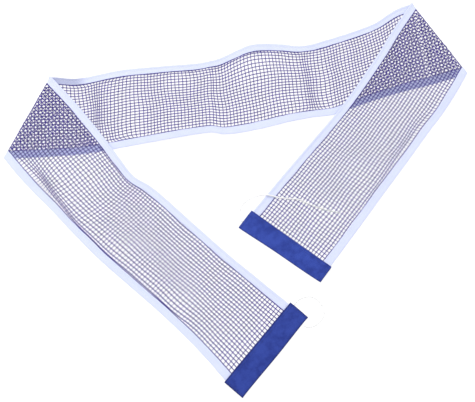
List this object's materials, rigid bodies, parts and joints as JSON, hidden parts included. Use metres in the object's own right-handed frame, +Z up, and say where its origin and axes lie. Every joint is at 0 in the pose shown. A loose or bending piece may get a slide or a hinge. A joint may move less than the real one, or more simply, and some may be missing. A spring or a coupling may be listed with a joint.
{
  "type": "table tennis net",
  "caption": "Tape-bound square-mesh table tennis net, folded twice, with a cord in its top hem and a flat cloth post sleeve at each end.",
  "frame": {"origin": "on the surface the net lies on, at the middle of the folded net's footprint", "axes": "+Z up from that surface; +X along the longer side of the footprint, from the left fold to the right fold; +Y from the sleeves towards the middle run"},
  "size_m": [0.7924, 0.7014, 0.0097],
  "materials": {
    "netting": "knotless twisted polyester netting, near-black navy, slightly shiny",
    "tape": "woven cotton and polyester binding tape, cool white, matt",
    "cord": "braided nylon cord, white, satin",
    "sleeve_cloth": "plain-woven polyester cloth, royal blue, slightly creased"
  },
  "bodies": {
    "middle_run": {"netting_middle": "netting", "top_tape_middle": "tape", "bottom_tape_middle": "tape", "hem_cord_middle": "cord"},
    "left_run": {"netting_left": "netting", "top_tape_left": "tape", "bottom_tape_left": "tape", "hem_cord_left": "cord", "post_sleeve_left": "sleeve_cloth", "cord_loop_left": "cord"},
    "right_run": {"netting_right": "netting", "top_tape_right": "tape", "bottom_tape_right": "tape", "hem_cord_right": "cord", "post_sleeve_right": "sleeve_cloth", "cord_tail_right": "cord"}
  },
  "joints": [
    {"name": "left_fold", "type": "hinge", "parent": "middle_run", "child": "left_run", "pos_m": [-0.3655, 0.116, 0.0043], "axis": [-0.3697, -0.9291, 0], "range_deg": [0, 180]},
    {"name": "right_fold", "type": "hinge", "parent": "middle_run", "child": "right_run", "pos_m": [0.3535, 0.2755, 0.0043], "axis": [-0.4955, 0.8686, 0], "range_deg": [0, 180]}
  ]
}
